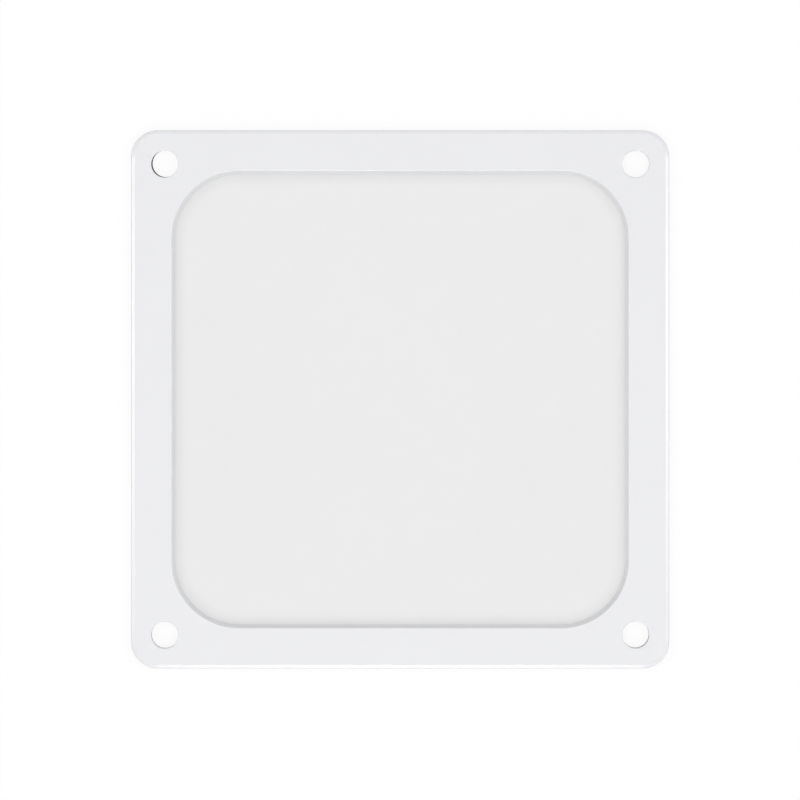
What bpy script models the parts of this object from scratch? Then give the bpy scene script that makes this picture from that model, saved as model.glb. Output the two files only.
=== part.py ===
"""Dust filter for a 120 mm fan, lying on its back with its front face up.

A white moulded frame with a wide opening holds a fine mesh in a shallow rebate in its back. A
flexible magnetic sheet of the same outline closes the back. Four screw holes run through both.
Lengths are in metres. The origin is on the surface that the filter lies on, under its middle.
"""

import math

import bmesh
import bpy

# Plan, seen from the front
HOLE_PITCH = 0.105  # from hole to hole, as on a 120 mm fan
HOLE_TO_EDGE = 0.0075  # from a hole's middle to the filter's edge
HOLE_DIAMETER = 0.006
OUTER_CORNER_RADIUS = 0.006
RAIL_WIDTH = 0.0097  # one side of the frame, from its outer edge to the opening's wall
OPENING_CORNER_RADIUS = 0.0144
MESH_HEM = 0.003  # how far the mesh reaches behind each rail

# A coarse grid of openings in the mesh, which stands for its thousands of fine ones
GRID_COUNT = 10  # openings along each side
GRID_BAR_WIDTH = 0.004

# Heights, from the back to the front
MAGNET_THICKNESS = 0.0009
FRAME_THICKNESS = 0.0018
MESH_THICKNESS = 0.0003
LAYER_GAP = 0.0003  # between two layers, and round the mesh in its rebate

# Front edges of the frame: the opening's is bevelled flat, the others are round
OUTER_EDGE_RADIUS = 0.0009
OPENING_EDGE_WIDTH = 0.0008
HOLE_EDGE_RADIUS = 0.0002

# How finely curves are divided
OUTER_CORNER_STEPS = 12
OPENING_CORNER_STEPS = 16
GRID_CORNER_STEPS = 6
HOLE_STEPS = 32
ROUND_EDGE_STEPS = 4
FLAT_EDGE_STEPS = 1
SMOOTH_BELOW = math.radians(35)

# What a cutter reaches past the material that it cuts, and the distance at which points join
CUT_MARGIN = 0.002
WELD_DISTANCE = 0.000001

# Faces that meet at less than the first angle lie in one plane, at more than the second make an edge
FLAT_ANGLE = math.radians(1)
EDGE_ANGLE = math.radians(60)

# Sizes that follow from the ones above
OUTER_SIDE = HOLE_PITCH + 2 * HOLE_TO_EDGE
OPENING_SIDE = OUTER_SIDE - 2 * RAIL_WIDTH
MESH_SIDE = OPENING_SIDE + 2 * MESH_HEM
MESH_CORNER_RADIUS = OPENING_CORNER_RADIUS + MESH_HEM
GRID_PITCH = OPENING_SIDE / GRID_COUNT
GRID_OPENING_SIDE = GRID_PITCH - GRID_BAR_WIDTH
GRID_LAST = (OPENING_SIDE - GRID_PITCH) / 2  # from the middle to the last opening's middle
REBATE_SIDE = MESH_SIDE + 2 * LAYER_GAP
REBATE_CORNER_RADIUS = MESH_CORNER_RADIUS + LAYER_GAP
REBATE_DEPTH = MESH_THICKNESS + LAYER_GAP
FRAME_BACK = MAGNET_THICKNESS + LAYER_GAP
FRAME_FRONT = FRAME_BACK + FRAME_THICKNESS

# Colours, and how rough each surface is
WHITE_PLASTIC = (0.85, 0.85, 0.87, 1.0)
WHITE_NYLON = (0.84, 0.84, 0.84, 1.0)
DARK_MAGNET = (0.055, 0.05, 0.047, 1.0)
PLASTIC_ROUGHNESS = 0.45
NYLON_ROUGHNESS = 0.6
MAGNET_ROUGHNESS = 0.7


def clear_scene():
    for old in list(bpy.data.objects):
        bpy.data.objects.remove(old, do_unlink=True)


def new_collection(name):
    collection = bpy.data.collections.new(name)
    bpy.context.scene.collection.children.link(collection)
    return collection


def plain_material(name, colour, roughness):
    material = bpy.data.materials.new(name)
    material.use_nodes = True
    shader = material.node_tree.nodes["Principled BSDF"]
    shader.inputs["Base Color"].default_value = colour
    shader.inputs["Roughness"].default_value = roughness
    shader.inputs["Metallic"].default_value = 0.0
    return material


def arc(centre_x, centre_y, radius, start, sweep, steps):
    """Points from one end of an arc to the other, both included."""
    angles = [start + sweep * i / steps for i in range(steps + 1)]
    return [(centre_x + radius * math.cos(a), centre_y + radius * math.sin(a)) for a in angles]


def rounded_square(side, corner_radius, corner_steps):
    """A square about the origin with round corners, anticlockwise."""
    reach = side / 2 - corner_radius
    quarter = math.pi / 2
    points = []
    for corner, (x, y) in enumerate(((1, 1), (-1, 1), (-1, -1), (1, -1))):
        points += arc(x * reach, y * reach, corner_radius, corner * quarter, quarter, corner_steps)
    return points


def outer_outline():
    return rounded_square(OUTER_SIDE, OUTER_CORNER_RADIUS, OUTER_CORNER_STEPS)


def opening_outline():
    return rounded_square(OPENING_SIDE, OPENING_CORNER_RADIUS, OPENING_CORNER_STEPS)


def screw_hole_outlines():
    """Four circles, one near each corner of the filter."""
    half = HOLE_PITCH / 2
    centres = [(x * half, y * half) for x in (-1, 1) for y in (-1, 1)]
    return [arc(x, y, HOLE_DIAMETER / 2, 0.0, math.tau, HOLE_STEPS)[:-1] for x, y in centres]


def square_grid_openings():
    """The grid's openings, apart from the one in each corner."""
    half = GRID_OPENING_SIDE / 2
    square = ((-half, -half), (half, -half), (half, half), (-half, half))
    ends = (0, GRID_COUNT - 1)
    outlines = []
    for column in range(GRID_COUNT):
        for row in range(GRID_COUNT):
            if column not in ends or row not in ends:
                x = column * GRID_PITCH - GRID_LAST
                y = row * GRID_PITCH - GRID_LAST
                outlines.append([(x + across, y + along) for across, along in square])
    return outlines


def corner_grid_openings():
    """The grid's four corner openings, cut round where the frame's wall is round."""
    centre = OPENING_SIDE / 2 - OPENING_CORNER_RADIUS
    radius = OPENING_CORNER_RADIUS - GRID_BAR_WIDTH / 2
    inner = GRID_LAST - GRID_OPENING_SIDE / 2
    start = math.asin((inner - centre) / radius)
    curve = arc(centre, centre, radius, start, math.pi / 2 - 2 * start, GRID_CORNER_STEPS)
    outline = [(inner, inner), *curve]
    return [[(side * x, end * y) for x, y in outline] for side in (-1, 1) for end in (-1, 1)]


def plate(name, collection, outlines, back, front):
    """A flat solid between two heights. The outlines inside the first one are openings."""
    curve = bpy.data.curves.new(name, "CURVE")
    curve.dimensions = "2D"
    curve.fill_mode = "BOTH"
    curve.extrude = (front - back) / 2
    for outline in outlines:
        spline = curve.splines.new("POLY")
        spline.points.add(len(outline) - 1)
        for point, (x, y) in zip(spline.points, outline):
            point.co = (x, y, 0.0, 1.0)
        spline.use_cyclic_u = True

    drawing = bpy.data.objects.new(name + "_drawing", curve)
    drawing.location.z = (back + front) / 2
    collection.objects.link(drawing)
    evaluated = drawing.evaluated_get(bpy.context.evaluated_depsgraph_get())
    mesh = bpy.data.meshes.new_from_object(evaluated)
    mesh.name = name
    place = drawing.matrix_world.copy()
    bpy.data.objects.remove(drawing)

    body = bmesh.new()
    body.from_mesh(mesh)
    bmesh.ops.remove_doubles(body, verts=body.verts, dist=WELD_DISTANCE)
    bmesh.ops.dissolve_limit(body, angle_limit=FLAT_ANGLE, verts=body.verts, edges=body.edges)
    body.to_mesh(mesh)
    body.free()
    mesh.shade_smooth()
    mesh.set_sharp_from_angle(angle=SMOOTH_BELOW)

    solid = bpy.data.objects.new(name, mesh)
    solid.matrix_world = place
    collection.objects.link(solid)
    return solid


def bevel_front_edges(solid, name, outlines, width, steps):
    """Bevels the front edges that follow the outlines. One step is flat, and more are round."""
    body = bmesh.new()
    body.from_mesh(solid.data)
    weight = body.edges.layers.float.new(name)
    corners = [point for outline in outlines for point in outline]
    for edge in body.edges:
        start, end = edge.verts
        in_front = start.co.z > 0 and end.co.z > 0
        if in_front and edge.calc_face_angle() > EDGE_ANGLE:
            if min(math.dist(start.co.xy, point) for point in corners) < WELD_DISTANCE:
                edge[weight] = 1.0
    body.to_mesh(solid.data)
    body.free()

    bevel = solid.modifiers.new(name, "BEVEL")
    bevel.limit_method = "WEIGHT"
    bevel.edge_weight = name
    bevel.width = width
    bevel.segments = steps
    bevel.mark_sharp = steps == FLAT_EDGE_STEPS
    bevel.use_clamp_overlap = False


def cut(solid, cutter):
    cutter.hide_render = True
    cutter.display_type = "WIRE"
    difference = solid.modifiers.new("cut_" + cutter.name, "BOOLEAN")
    difference.operation = "DIFFERENCE"
    difference.solver = "EXACT"
    difference.object = cutter


def make_magnet_sheet(collection):
    """The dark flexible sheet at the back, cut to the frame's outline."""
    outlines = [outer_outline(), opening_outline(), *screw_hole_outlines()]
    sheet = plate("magnet_sheet", collection, outlines, 0.0, MAGNET_THICKNESS)
    sheet.data.materials.append(plain_material("dark_magnet", DARK_MAGNET, MAGNET_ROUGHNESS))


def make_mesh_screen(collection):
    """The mesh, held in the frame's rebate by its hem."""
    outer = rounded_square(MESH_SIDE, MESH_CORNER_RADIUS, OPENING_CORNER_STEPS)
    outlines = [outer, *square_grid_openings(), *corner_grid_openings()]
    screen = plate("mesh_screen", collection, outlines, FRAME_BACK, FRAME_BACK + MESH_THICKNESS)
    screen.data.materials.append(plain_material("white_nylon", WHITE_NYLON, NYLON_ROUGHNESS))


def make_front_frame(collection, cutters):
    """The moulded frame, with its front edges bevelled and a rebate for the mesh cut into its back."""
    outer, opening, holes = outer_outline(), opening_outline(), screw_hole_outlines()
    frame = plate("front_frame", collection, [outer, opening, *holes], FRAME_BACK, FRAME_FRONT)
    frame.data.materials.append(plain_material("white_plastic", WHITE_PLASTIC, PLASTIC_ROUGHNESS))
    bevel_front_edges(frame, "outer_edge", [outer], OUTER_EDGE_RADIUS, ROUND_EDGE_STEPS)
    bevel_front_edges(frame, "opening_edge", [opening], OPENING_EDGE_WIDTH, FLAT_EDGE_STEPS)
    bevel_front_edges(frame, "hole_edges", holes, HOLE_EDGE_RADIUS, ROUND_EDGE_STEPS)

    rebate = rounded_square(REBATE_SIDE, REBATE_CORNER_RADIUS, OPENING_CORNER_STEPS)
    roof = FRAME_BACK + REBATE_DEPTH
    cut(frame, plate("mesh_rebate", cutters, [rebate], FRAME_BACK - CUT_MARGIN, roof))


def main():
    clear_scene()
    filter_pieces = new_collection("fan_dust_filter")
    cutters = new_collection("cutters")
    make_magnet_sheet(filter_pieces)
    make_mesh_screen(filter_pieces)
    make_front_frame(filter_pieces, cutters)


main()
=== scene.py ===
# Looks of the dust filter for a 120 mm fan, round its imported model: fine meshes, materials, light
# and camera. Lengths are in metres. The filter lies on its back, and +Y is up in the picture.
import math

import bmesh
import bpy
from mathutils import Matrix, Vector


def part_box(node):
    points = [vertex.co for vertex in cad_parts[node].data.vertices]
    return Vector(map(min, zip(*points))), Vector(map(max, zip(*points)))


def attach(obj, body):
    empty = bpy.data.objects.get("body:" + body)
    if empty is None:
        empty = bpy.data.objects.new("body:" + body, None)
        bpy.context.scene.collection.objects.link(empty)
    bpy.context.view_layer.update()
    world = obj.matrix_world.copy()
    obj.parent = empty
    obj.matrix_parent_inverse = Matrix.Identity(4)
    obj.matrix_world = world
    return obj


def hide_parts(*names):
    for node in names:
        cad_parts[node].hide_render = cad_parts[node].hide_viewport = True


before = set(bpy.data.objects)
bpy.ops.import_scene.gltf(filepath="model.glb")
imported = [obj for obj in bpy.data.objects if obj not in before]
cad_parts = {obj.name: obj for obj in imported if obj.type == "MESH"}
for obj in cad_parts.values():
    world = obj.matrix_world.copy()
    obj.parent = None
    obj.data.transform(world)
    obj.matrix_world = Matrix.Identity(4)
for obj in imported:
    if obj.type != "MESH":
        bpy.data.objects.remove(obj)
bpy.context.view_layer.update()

frame_low, frame_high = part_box("front_frame")
screen_low, screen_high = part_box("mesh_screen")
magnet_low, magnet_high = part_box("magnet_sheet")

# Plan of the filter
HOLE_PITCH = 0.105
HOLE_DIAMETER = 0.006
OUTER_CORNER_RADIUS = 0.006
OPENING_CORNER_RADIUS = 0.0144
MESH_HEM = 0.003  # how far the mesh reaches behind each rail
LAYER_GAP = 0.0003  # round the mesh in its rebate
OUTER_SIDE = frame_high.x - frame_low.x
SCREEN_SIDE = screen_high.x - screen_low.x
OPENING_SIDE = SCREEN_SIDE - 2 * MESH_HEM
SCREEN_CORNER_RADIUS = OPENING_CORNER_RADIUS + MESH_HEM
REBATE_DEPTH = MESH_HEM + LAYER_GAP  # from the opening's wall, behind the rail

# The screw holes, as sides of the filter, and how far each lies to the right and up of its place
HOLE_SIDES = ((-1, 1), (1, 1), (-1, -1), (1, -1))
FRAME_HOLE_SHIFTS = ((0.0, 0.0),) * len(HOLE_SIDES)
SHEET_HOLE_SHIFTS = ((0.00019, 0.00012), (0.00007, 0.00002), (0.0, -0.00002), (-0.00001, 0.00002))
SHEET_SETBACK = 0.0001  # how much wider the sheet's opening is all round, so that it doesn't show

# Edges
OUTER_SLOPE_WIDTH = 0.00075  # the front face slopes off before its outer edge
OUTER_SLOPE_DROP = 0.00027
OUTER_SLOPE_RADIUS = 0.0006  # where the slope begins
OUTER_EDGE_RADIUS = 0.00035
OPENING_EDGE_WIDTH = 0.00068
OPENING_EDGE_HEIGHT = 0.0013
OPENING_LIP_RADIUS = 0.00015  # where the opening's bevel meets the front face
HOLE_EDGE_RADIUS = 0.0002
MOULDED_EDGE_RADIUS = 0.0001  # on every other edge of the frame
CUT_EDGE_RADIUS = 0.00006  # on the edges of the magnetic sheet

# How finely curves are divided
CORNER_STEPS = 40
HOLE_STEPS = 96
STEP_ANGLE = math.radians(9)  # along a rounded edge's section
THREAD_END_ANGLE = math.radians(60)  # faces that meet at more than this make a sharp edge
WELD_DISTANCE = 0.000001  # points that lie closer than this are joined

# Mesh
THREAD_PITCH = 0.0002
THREAD_DIAMETER = 0.00008
THREAD_SIDES = 8
CROSSING_OVERLAP = 0.1  # share of a thread's diameter that two threads share where they cross
MESH_THICKNESS = THREAD_DIAMETER * (2 - CROSSING_OVERLAP)
PAINTED_SHADE_MARGIN = 0.003  # how far from the opening's wall the painted shade on the mesh begins
PAINTED_SHADE_POWER = 1.5  # 1 darkens evenly up to the wall, and more keeps the painted shade nearer to the wall
PAINTED_SHADE_SHARE = 0.77  # how much of the nylon's range of tones the painted wall shade takes, and the weave's painted shade the rest

# Materials: the two tones that each colour runs between, its roughness, and how deep its bumps are
WHITE = (1.0, 1.0, 1.0, 1.0)
PLASTIC_TONES = ((0.841, 0.843, 0.864, 1.0), (0.853, 0.855, 0.876, 1.0))
PLASTIC_ROUGHNESS = (0.14, 0.2)
PLASTIC_WAVE_DEPTH = 0.000003
PLASTIC_GRAIN_DEPTH = 0.000002
# Nylon: its own white, down to its darkest painted shade where a thread dips beside the opening's wall
NYLON_TONES_WITH_PAINTED_SHADE = ((0.705, 0.705, 0.705, 1.0), (0.873, 0.873, 0.873, 1.0))
NYLON_ROUGHNESS = (0.34, 0.46)
NYLON_WEAVE_DEPTH = 0.00001
RUBBER_TONES = ((0.042, 0.038, 0.036, 1.0), (0.072, 0.065, 0.06, 1.0))
RUBBER_ROUGHNESS = (0.58, 0.74)
RUBBER_STREAKS = (25.0, 2200.0, 400.0)  # how many lie in a metre along each axis
RUBBER_STREAK_DEPTH = 0.00001
RUBBER_GRAIN_DEPTH = 0.000012
NOISE_RANGE = (0.3, 0.7)  # nearly all of a noise's values lie in it
FULL_RANGE = (0.0, 1.0)

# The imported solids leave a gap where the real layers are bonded, and here it is closed to a seam
SEAM_WIDTH = 0.00002
SHEET_TOP = (magnet_high.z + frame_low.z - SEAM_WIDTH) / 2
FRAME_BACK = SHEET_TOP + SEAM_WIDTH
REBATE_ROOF = screen_low.z + MESH_THICKNESS + SEAM_WIDTH

# Camera: 178.3 mm of the front face fill the picture's 800 pixels
PICTURE_SIZE = 800
FIELD = 0.1783
OBJECT_PIXEL = (400.2, 399.5)  # the filter's middle in the picture
CAMERA_DISTANCE = 1.2  # from the front face
CAMERA_OFFSET = 0.026  # how far above the filter's middle the camera stands in the picture
SENSOR = 36.0  # the sensor's width, in millimetres like the lens
NEAREST_SEEN = 0.01
FURTHEST_SEEN = 20.0

# Light: a softbox on the left, the right and the lower side of the picture, and a pale room
LAMP_COLOUR = (1.0, 1.0, 1.0)
SOFTBOX_DISTANCE = 2.5
SOFTBOX_ANGLE = math.radians(32)  # from straight up
SOFTBOX_DEPTH = 1.92  # towards the camera and away from it
SOFTBOX_LENGTH = 0.29
LEFT_RADIANCE = 5.6
RIGHT_RADIANCE = 6.2
LOWER_RADIANCE = 8.0
WORLD_STRENGTH = 0.55
FLOOR_SIZE = 6.0
FLOOR_GAP = 0.00002  # keeps the floor's surface apart from the filter's back
FLOOR_LIT_SHARE = 0.1  # how much of the seen floor's white is light that falls on it


def arc(centre_x, centre_y, radius, start, sweep, steps):
    """Points from one end of an arc to the other, both included."""
    angles = [start + sweep * i / steps for i in range(steps + 1)]
    return [(centre_x + radius * math.cos(a), centre_y + radius * math.sin(a)) for a in angles]


def rounded_square(side, corner_radius):
    """A square about the origin with round corners, anticlockwise."""
    reach = side / 2 - corner_radius
    quarter = math.pi / 2
    points = []
    for corner, (x, y) in enumerate(((1, 1), (-1, 1), (-1, -1), (1, -1))):
        points += arc(x * reach, y * reach, corner_radius, corner * quarter, quarter, CORNER_STEPS)
    return points


def outer_outline(outset):
    """The filter's outline, moved outwards."""
    return rounded_square(OUTER_SIDE + 2 * outset, OUTER_CORNER_RADIUS + outset)


def opening_outline(outset):
    """The opening's outline, moved away from its middle."""
    return rounded_square(OPENING_SIDE + 2 * outset, OPENING_CORNER_RADIUS + outset)


def sheet_opening_outline(outset):
    """The same for the magnetic sheet, whose opening is a little wider."""
    return opening_outline(SHEET_SETBACK + outset)


def screw_hole_outline(x, y):
    """A function that gives one screw hole's outline, moved away from its middle."""
    def outline(outset):
        return arc(x, y, HOLE_DIAMETER / 2 + outset, 0.0, math.tau, HOLE_STEPS)[:-1]
    return outline


def screw_hole_outlines(shifts):
    """The four holes' outlines, each moved to the right and up by its shift."""
    half = HOLE_PITCH / 2
    places = zip(HOLE_SIDES, shifts)
    return [screw_hole_outline(x * half + right, y * half + up) for (x, y), (right, up) in places]


def rounded_section(corners):
    """Points along a section of (outset, height, radius) corners. Its two end points are left out."""
    points = []
    for (x0, z0, _), (x, z, radius), (x1, z1, _) in zip(corners, corners[1:], corners[2:]):
        corner = Vector((x, z))
        back = (Vector((x0, z0)) - corner).normalized()
        onward = (Vector((x1, z1)) - corner).normalized()
        half_angle = back.angle(onward) / 2
        centre = corner + (back + onward).normalized() * radius / math.sin(half_angle)
        reach = radius / math.tan(half_angle)
        start = corner + back * reach - centre
        turn = start.angle_signed(corner + onward * reach - centre)
        steps = math.ceil(abs(turn) / STEP_ANGLE)
        for step in range(steps + 1):
            angle = -turn * step / steps
            cosine, sine = math.cos(angle), math.sin(angle)
            points.append(centre + Vector((start.x * cosine - start.y * sine,
                                           start.x * sine + start.y * cosine)))
    return points


def plain_edge(inwards, back, front, front_radius, back_radius):
    """The section of an upright wall. inwards is where the solid lies: 1 or -1 from the wall."""
    far = inwards * OUTER_SIDE
    corners = [(far, front, 0), (0, front, front_radius), (0, back, back_radius), (far, back, 0)]
    return rounded_section(corners)


def add_wall(body, outline, section):
    """Sweeps a section round an outline."""
    rings = []
    for outset, height in section:
        rings.append([body.verts.new((x, y, height)) for x, y in outline(outset)])
    for upper, lower in zip(rings, rings[1:]):
        for i in range(len(upper)):
            body.faces.new((upper[i - 1], upper[i], lower[i], lower[i - 1]))


def add_flat(body, outlines, height):
    """Fills the first outline at one height, apart from the outlines inside it."""
    curve = bpy.data.curves.new("flat", "CURVE")
    curve.dimensions = "2D"
    curve.fill_mode = "BOTH"
    for outline in outlines:
        spline = curve.splines.new("POLY")
        spline.points.add(len(outline) - 1)
        for point, (x, y) in zip(spline.points, outline):
            point.co = (x, y, 0.0, 1.0)
        spline.use_cyclic_u = True
    drawing = bpy.data.objects.new("flat", curve)
    mesh = bpy.data.meshes.new_from_object(drawing)
    corners = [body.verts.new((v.co.x, v.co.y, height)) for v in mesh.vertices]
    for face in mesh.polygons:
        body.faces.new([corners[i] for i in face.vertices])
    bpy.data.objects.remove(drawing)
    bpy.data.curves.remove(curve)
    bpy.data.meshes.remove(mesh)


def new_piece(name, body, material):
    mesh = bpy.data.meshes.new(name)
    body.to_mesh(mesh)
    body.free()
    mesh.shade_smooth()
    mesh.materials.append(material)
    piece = bpy.data.objects.new(name, mesh)
    bpy.context.scene.collection.objects.link(piece)
    return piece


def make_plate(name, walls, material):
    """A flat solid. walls holds (outline, section) pairs, the outer one first, front to back."""
    body = bmesh.new()
    for outline, section in walls:
        add_wall(body, outline, section)
    _, outer_section = walls[0]
    for end in (0, -1):
        add_flat(body, [outline(section[end].x) for outline, section in walls], outer_section[end].y)
    bmesh.ops.remove_doubles(body, verts=body.verts, dist=WELD_DISTANCE)
    bmesh.ops.recalc_face_normals(body, faces=body.faces)
    piece = new_piece(name, body, material)
    normals = piece.modifiers.new("even_normals", "WEIGHTED_NORMAL")
    normals.mode = "FACE_AREA"
    return piece


def stand_for(piece, node):
    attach(piece, "root")
    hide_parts(node)


def new_material(name):
    material = bpy.data.materials.new(name)
    material.use_nodes = True
    return material, material.node_tree


def with_surface(material, colour, roughness, bump):
    """The same material, with these three linked to its shader."""
    tree = material.node_tree
    shader = tree.nodes["Principled BSDF"]
    for name, value in (("Base Color", colour), ("Roughness", roughness), ("Normal", bump)):
        tree.links.new(value, shader.inputs[name])
    return material


def object_place(tree):
    return tree.nodes.new("ShaderNodeTexCoord").outputs["Object"]


def stretched(tree, place, scale):
    """The same place, scaled along each axis."""
    mapping = tree.nodes.new("ShaderNodeMapping")
    mapping.inputs["Scale"].default_value = scale
    tree.links.new(place, mapping.inputs["Vector"])
    return mapping.outputs["Vector"]


def noise(tree, place, scale, detail):
    """Soft noise from 0 to 1, with about one blob in each 1/scale metres."""
    texture = tree.nodes.new("ShaderNodeTexNoise")
    texture.inputs["Scale"].default_value = scale
    texture.inputs["Detail"].default_value = detail
    tree.links.new(place, texture.inputs["Vector"])
    return texture.outputs["Fac"]


def mapped(tree, value, source, target):
    """Carries a value over from one (low, high) range to another one, and stops it at the ends."""
    node = tree.nodes.new("ShaderNodeMapRange")
    for name, limit in zip(("From Min", "From Max", "To Min", "To Max"), (*source, *target)):
        node.inputs[name].default_value = limit
    tree.links.new(value, node.inputs["Value"])
    return node.outputs["Result"]


def blend_colours(tree, share, first, second):
    mix = tree.nodes.new("ShaderNodeMix")
    mix.data_type = "RGBA"
    mix.inputs["A"].default_value = first
    mix.inputs["B"].default_value = second
    tree.links.new(share, mix.inputs["Factor"])
    return mix.outputs["Result"]


def raised(tree, height, depth, under=None):
    """A bump of the given depth in metres, over another one if that is given."""
    bump = tree.nodes.new("ShaderNodeBump")
    bump.inputs["Distance"].default_value = depth
    tree.links.new(height, bump.inputs["Height"])
    if under:
        tree.links.new(under, bump.inputs["Normal"])
    return bump.outputs["Normal"]


def calculated(tree, operation, first, second=None):
    node = tree.nodes.new("ShaderNodeMath")
    node.operation = operation
    for socket, value in zip(node.inputs, (first, second)):
        if isinstance(value, float):
            socket.default_value = value
        elif value is not None:
            tree.links.new(value, socket)
    return node.outputs["Value"]


def white_plastic():
    """Satin white moulded plastic: a fine grain, a faint waviness and hardly any change of tone."""
    material, tree = new_material("white_plastic")
    place = object_place(tree)
    tone = mapped(tree, noise(tree, place, scale=60.0, detail=3.0), NOISE_RANGE, FULL_RANGE)
    colour = blend_colours(tree, tone, *PLASTIC_TONES)
    spots = noise(tree, place, scale=700.0, detail=2.0)
    roughness = mapped(tree, spots, NOISE_RANGE, PLASTIC_ROUGHNESS)
    waves = raised(tree, noise(tree, place, scale=220.0, detail=2.0), PLASTIC_WAVE_DEPTH)
    fine = noise(tree, place, scale=5000.0, detail=3.0)
    grain = raised(tree, fine, PLASTIC_GRAIN_DEPTH, under=waves)
    return with_surface(material, colour, roughness, grain)


def painted_shade_by_wall(tree, place_x, place_y):
    """How much painted shade the mesh gets: from 0 in the middle of the mesh to 1 at the opening's wall,
    round its corners too.
    """
    reach = OPENING_SIDE / 2 - OPENING_CORNER_RADIUS
    squares = []
    for place in (place_x, place_y):
        past = calculated(tree, "SUBTRACT", calculated(tree, "ABSOLUTE", place), reach)
        squares.append(calculated(tree, "POWER", calculated(tree, "MAXIMUM", past, 0.0), 2.0))
    away = calculated(tree, "SQRT", calculated(tree, "ADD", squares[0], squares[1]))
    margin = (OPENING_CORNER_RADIUS - PAINTED_SHADE_MARGIN, OPENING_CORNER_RADIUS)
    return calculated(tree, "POWER", mapped(tree, away, margin, FULL_RANGE), PAINTED_SHADE_POWER)


def white_nylon():
    """White threads that look raised where they pass over, from a bump, and darker where they dip, from
    painted shade.

    The whole mesh also gets painted shade, greyer towards the opening's wall.
    """
    material, tree = new_material("white_nylon")
    place = object_place(tree)
    axes = tree.nodes.new("ShaderNodeSeparateXYZ")
    tree.links.new(place, axes.inputs["Vector"])
    place_x, place_y = axes.outputs["X"], axes.outputs["Y"]
    turn = math.pi / THREAD_PITCH
    across = calculated(tree, "COSINE", calculated(tree, "MULTIPLY", place_x, turn))
    along = calculated(tree, "COSINE", calculated(tree, "MULTIPLY", place_y, turn))
    weave = calculated(tree, "MULTIPLY", across, along)
    # higher where a thread passes over and lower, with painted shade, where it dips; the bump uses it as
    # height too
    share = calculated(tree, "ADD", calculated(tree, "MULTIPLY", weave, 0.5), 0.5)
    # painted shade beside the opening's wall, taken off the weave's tone
    painted_wall_shade = calculated(tree, "MULTIPLY", painted_shade_by_wall(tree, place_x, place_y), PAINTED_SHADE_SHARE)
    light = calculated(tree, "ADD", calculated(tree, "MULTIPLY", share, 1 - PAINTED_SHADE_SHARE), PAINTED_SHADE_SHARE)
    tone = calculated(tree, "SUBTRACT", light, painted_wall_shade)
    colour = blend_colours(tree, tone, *NYLON_TONES_WITH_PAINTED_SHADE)
    spots = noise(tree, place, scale=900.0, detail=2.0)
    roughness = mapped(tree, spots, NOISE_RANGE, NYLON_ROUGHNESS)
    return with_surface(material, colour, roughness, raised(tree, share, NYLON_WEAVE_DEPTH))


def dark_rubber():
    """Matt magnetic sheet: mineral specks, and faint streaks from the rollers along one side."""
    material, tree = new_material("dark_rubber")
    place = object_place(tree)
    specks = mapped(tree, noise(tree, place, scale=6000.0, detail=2.0), NOISE_RANGE, FULL_RANGE)
    colour = blend_colours(tree, specks, *RUBBER_TONES)
    streaks = noise(tree, stretched(tree, place, RUBBER_STREAKS), scale=1.0, detail=3.0)
    roughness = mapped(tree, streaks, NOISE_RANGE, RUBBER_ROUGHNESS)
    rolled = raised(tree, streaks, RUBBER_STREAK_DEPTH)
    fine = noise(tree, place, scale=4500.0, detail=3.0)
    grain = raised(tree, fine, RUBBER_GRAIN_DEPTH, under=rolled)
    return with_surface(material, colour, roughness, grain)


def make_frame():
    """The moulded frame. It slopes off to a round outer edge, and has a bevelled opening and a rebate."""
    back, front = FRAME_BACK, frame_high.z
    soft = MOULDED_EDGE_RADIUS
    outer_edge = rounded_section([
        (-OUTER_SIDE, front, 0),
        (-OUTER_SLOPE_WIDTH, front, OUTER_SLOPE_RADIUS),
        (0, front - OUTER_SLOPE_DROP, OUTER_EDGE_RADIUS),
        (0, back, soft),
        (-OUTER_SIDE, back, 0),
    ])
    opening_edge = rounded_section([
        (OUTER_SIDE, front, 0),
        (OPENING_EDGE_WIDTH, front, OPENING_LIP_RADIUS),
        (0, front - OPENING_EDGE_HEIGHT, soft),
        (0, REBATE_ROOF, soft),
        (REBATE_DEPTH, REBATE_ROOF, soft),
        (REBATE_DEPTH, back, soft),
        (OUTER_SIDE, back, 0),
    ])
    hole_edge = plain_edge(1, back, front, HOLE_EDGE_RADIUS, soft)
    walls = [(outer_outline, outer_edge), (opening_outline, opening_edge)]
    walls += [(outline, hole_edge) for outline in screw_hole_outlines(FRAME_HOLE_SHIFTS)]
    piece = make_plate("moulded_frame", walls, white_plastic())
    stand_for(piece, "front_frame")


def half_length(offset):
    """Half the length of a thread that runs this far from the mesh's middle."""
    reach = SCREEN_SIDE / 2 - SCREEN_CORNER_RADIUS
    past = max(abs(offset) - reach, 0.0)
    return reach + math.sqrt(max(SCREEN_CORNER_RADIUS ** 2 - past ** 2, 0.0))


def add_thread(body, offset, height, along_x):
    """A straight thread, as a prism with closed ends."""
    rings = []
    for end in (-1, 1):
        length = end * half_length(offset)
        ring = []
        for side in range(THREAD_SIDES):
            angle = math.tau * (side + 0.5) / THREAD_SIDES
            sideways = offset + THREAD_DIAMETER / 2 * math.cos(angle)
            up = height + THREAD_DIAMETER / 2 * math.sin(angle)
            place = (length, sideways, up) if along_x else (sideways, length, up)
            ring.append(body.verts.new(place))
        rings.append(ring)
    first, last = rings
    for side in range(THREAD_SIDES):
        following = (side + 1) % THREAD_SIDES
        body.faces.new((first[side], first[following], last[following], last[side]))
    body.faces.new(reversed(first))
    body.faces.new(last)


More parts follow.
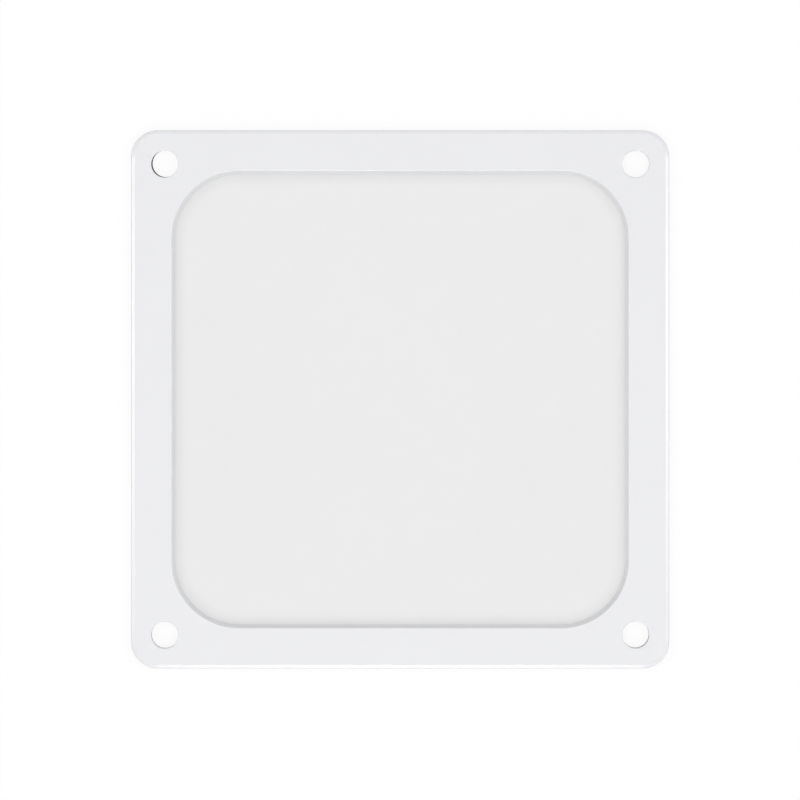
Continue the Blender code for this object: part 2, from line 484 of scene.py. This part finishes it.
def make_screen():
    """The mesh: threads along both sides, one layer on the other, with a thread in the middle."""
    body = bmesh.new()
    lower = screen_low.z + THREAD_DIAMETER / 2
    upper = lower + THREAD_DIAMETER * (1 - CROSSING_OVERLAP)
    last_number = int((SCREEN_SIDE - THREAD_DIAMETER) / 2 / THREAD_PITCH)
    for number in range(-last_number, last_number + 1):
        add_thread(body, number * THREAD_PITCH, upper, along_x=True)
        add_thread(body, number * THREAD_PITCH, lower, along_x=False)
    bmesh.ops.recalc_face_normals(body, faces=body.faces)
    piece = new_piece("nylon_mesh", body, white_nylon())
    piece.data.set_sharp_from_angle(angle=THREAD_END_ANGLE)
    stand_for(piece, "mesh_screen")


def make_magnet():
    """The dark sheet, with the slightly rounded edges that a die leaves."""
    back, front = magnet_low.z, SHEET_TOP
    outer_edge = plain_edge(-1, back, front, CUT_EDGE_RADIUS, CUT_EDGE_RADIUS)
    inner_edge = plain_edge(1, back, front, CUT_EDGE_RADIUS, CUT_EDGE_RADIUS)
    walls = [(outer_outline, outer_edge), (sheet_opening_outline, inner_edge)]
    walls += [(outline, inner_edge) for outline in screw_hole_outlines(SHEET_HOLE_SHIFTS)]
    piece = make_plate("magnetic_sheet", walls, dark_rubber())
    stand_for(piece, "magnet_sheet")


def make_camera():
    """Looks straight down, and shifts its picture so that the filter stays in the middle."""
    data = bpy.data.cameras.new("camera")
    camera = bpy.data.objects.new("camera", data)
    bpy.context.scene.collection.objects.link(camera)
    data.sensor_width = SENSOR
    data.lens = SENSOR * CAMERA_DISTANCE / FIELD
    pixel_x, pixel_y = OBJECT_PIXEL
    half = PICTURE_SIZE / 2
    data.shift_x = (half - pixel_x) / PICTURE_SIZE
    data.shift_y = (pixel_y - half) / PICTURE_SIZE - CAMERA_OFFSET / FIELD
    data.clip_start = NEAREST_SEEN
    data.clip_end = FURTHEST_SEEN
    camera.location = (0.0, CAMERA_OFFSET, frame_high.z + CAMERA_DISTANCE)
    bpy.context.scene.camera = camera


def add_softbox(name, x, y, radiance):
    """A rectangular lamp that faces the filter from one side. radiance is how bright its surface is."""
    data = bpy.data.lights.new(name, "AREA")
    data.shape = "RECTANGLE"
    data.size = SOFTBOX_LENGTH
    data.size_y = SOFTBOX_DEPTH
    data.energy = math.pi * SOFTBOX_LENGTH * SOFTBOX_DEPTH * radiance
    data.color = LAMP_COLOUR
    lamp = bpy.data.objects.new(name, data)
    bpy.context.scene.collection.objects.link(lamp)
    sideways = SOFTBOX_DISTANCE * math.sin(SOFTBOX_ANGLE)
    up = SOFTBOX_DISTANCE * math.cos(SOFTBOX_ANGLE)
    lamp.location = (x * sideways, y * sideways, up)
    lamp.rotation_mode = "QUATERNION"
    lamp.rotation_quaternion = lamp.location.to_track_quat("Z", "Y")


def make_lights():
    add_softbox("left_softbox", -1, 0, LEFT_RADIANCE)
    add_softbox("right_softbox", 1, 0, RIGHT_RADIANCE)
    add_softbox("lower_softbox", 0, -1, LOWER_RADIANCE)


def seen_directly(tree):
    """1 for what the camera, a reflection or a clear body sees, and 0 for the light that falls."""
    rays = tree.nodes.new("ShaderNodeLightPath").outputs
    mirrored = calculated(tree, "MAXIMUM", rays["Is Glossy Ray"], rays["Is Transmission Ray"])
    return calculated(tree, "MAXIMUM", rays["Is Camera Ray"], mirrored)


def make_world():
    """White to look at, and a faint even light."""
    world = bpy.data.worlds.new("studio")
    bpy.context.scene.world = world
    world.use_nodes = True
    tree = world.node_tree
    background = tree.nodes["Background"]
    background.inputs["Color"].default_value = WHITE
    strength = mapped(tree, seen_directly(tree), FULL_RANGE, (WORLD_STRENGTH, 1.0))
    tree.links.new(strength, background.inputs["Strength"])


def floor_material():
    """White to look at, apart from the filter's soft shadow, and clear from below and to light."""
    material, tree = new_material("pale_floor")
    tree.nodes.remove(tree.nodes["Principled BSDF"])
    glow = tree.nodes.new("ShaderNodeEmission")
    glow.inputs["Strength"].default_value = 1.0
    lit = tree.nodes.new("ShaderNodeBsdfDiffuse")
    lit.inputs["Color"].default_value = WHITE
    shade = tree.nodes.new("ShaderNodeMixShader")
    shade.inputs["Fac"].default_value = FLOOR_LIT_SHARE
    tree.links.new(glow.outputs["Emission"], shade.inputs[1])
    tree.links.new(lit.outputs["BSDF"], shade.inputs[2])
    clear = tree.nodes.new("ShaderNodeBsdfTransparent")
    from_below = tree.nodes.new("ShaderNodeNewGeometry").outputs["Backfacing"]
    from_above = calculated(tree, "SUBTRACT", 1.0, from_below)
    whole = tree.nodes.new("ShaderNodeMixShader")
    tree.links.new(calculated(tree, "MULTIPLY", seen_directly(tree), from_above), whole.inputs["Fac"])
    tree.links.new(clear.outputs["BSDF"], whole.inputs[1])
    tree.links.new(shade.outputs["Shader"], whole.inputs[2])
    surface = tree.nodes["Material Output"].inputs["Surface"]
    tree.links.new(whole.outputs["Shader"], surface)
    return material


def make_floor():
    body = bmesh.new()
    bmesh.ops.create_grid(body, x_segments=1, y_segments=1, size=FLOOR_SIZE / 2)
    mesh = bpy.data.meshes.new("floor")
    body.to_mesh(mesh)
    body.free()
    mesh.materials.append(floor_material())
    floor = bpy.data.objects.new("floor", mesh)
    floor.location.z = -FLOOR_GAP
    bpy.context.scene.collection.objects.link(floor)


make_camera()
make_lights()
make_world()
make_floor()
make_frame()
make_screen()
make_magnet()
bpy.context.scene.view_settings.view_transform = "Standard"
